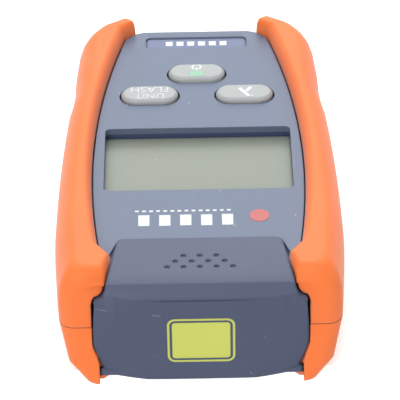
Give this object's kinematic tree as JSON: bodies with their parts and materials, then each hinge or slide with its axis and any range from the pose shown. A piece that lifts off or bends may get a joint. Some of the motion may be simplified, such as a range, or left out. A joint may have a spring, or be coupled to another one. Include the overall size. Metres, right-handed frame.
{
  "type": "optical power meter",
  "caption": "Pocket fibre-optic power meter: display, three keys, soft bumpers, and a hinged dust cap over two ferrule ports.",
  "frame": {"origin": "middle of the footprint, on the surface the meter lies on", "axes": "+X to the right seen from the port end, +Y from the port end towards the keypad end, +Z out of the face"},
  "size_m": [0.0734, 0.1237, 0.032],
  "materials": {
    "case_plastic": "fine textured slate blue",
    "bumper_rubber": "soft matte orange overmould",
    "cap_plastic": "fine textured slate blue",
    "key_silicone": "soft light grey",
    "gasket_rubber": "black",
    "display_glass": "grey-green reflective display",
    "backlight_plastic": "diffuse white",
    "strip_rubber": "striped connector rubber",
    "board_laminate": "green solder mask",
    "steel": "plated steel",
    "port_metal": "turned nickel plate",
    "module_metal": "machined",
    "cell_jacket": "printed sleeve",
    "door_plastic": "fine textured slate blue"
  },
  "bodies": {
    "case": {"front_case": "case_plastic", "rear_case": "case_plastic", "bumper_front_left": "bumper_rubber", "bumper_front_right": "bumper_rubber", "bumper_rear_left": "bumper_rubber", "bumper_rear_right": "bumper_rubber", "cap_hinge_pin": "steel", "display_gasket": "gasket_rubber", "display_glass": "display_glass", "display_backlight": "backlight_plastic", "display_connector_strips": "strip_rubber", "circuit_board": "board_laminate", "keypad_sheet": "key_silicone", "dome_switches": "steel", "detector_port": "port_metal", "detector_module": "module_metal", "fault_locator_port": "port_metal", "laser_module": "module_metal", "battery_cell_left": "cell_jacket", "battery_cell_right": "cell_jacket", "battery_contacts": "steel", "case_screws": "steel", "board_screws": "steel"},
    "cap": {"dust_cap": "cap_plastic"},
    "unit_button": {"unit_key": "key_silicone"},
    "wavelength_button": {"wavelength_key": "key_silicone"},
    "power_button": {"power_key": "key_silicone"},
    "door": {"battery_door": "door_plastic"}
  },
  "joints": [
    {"name": "cap_hinge", "type": "hinge", "parent": "case", "child": "cap", "pos_m": [0, -0.05935, 0.0026], "axis": [1, 0, 0], "range_deg": [0, 130]},
    {"name": "unit_press", "type": "slide", "parent": "case", "child": "unit_button", "axis": [0, 0, -1], "range_m": [0, 0.0009], "stiffness_N_per_m": 600, "springref_m": -0.0006},
    {"name": "wavelength_press", "type": "slide", "parent": "case", "child": "wavelength_button", "axis": [0, 0, -1], "range_m": [0, 0.0009], "stiffness_N_per_m": 600, "springref_m": -0.0006},
    {"name": "power_press", "type": "slide", "parent": "case", "child": "power_button", "axis": [0, 0, -1], "range_m": [0, 0.0009], "stiffness_N_per_m": 600, "springref_m": -0.0006},
    {"name": "door_slide", "type": "slide", "parent": "case", "child": "door", "axis": [0, 1, 0], "range_m": [0, 0.06]}
  ]
}
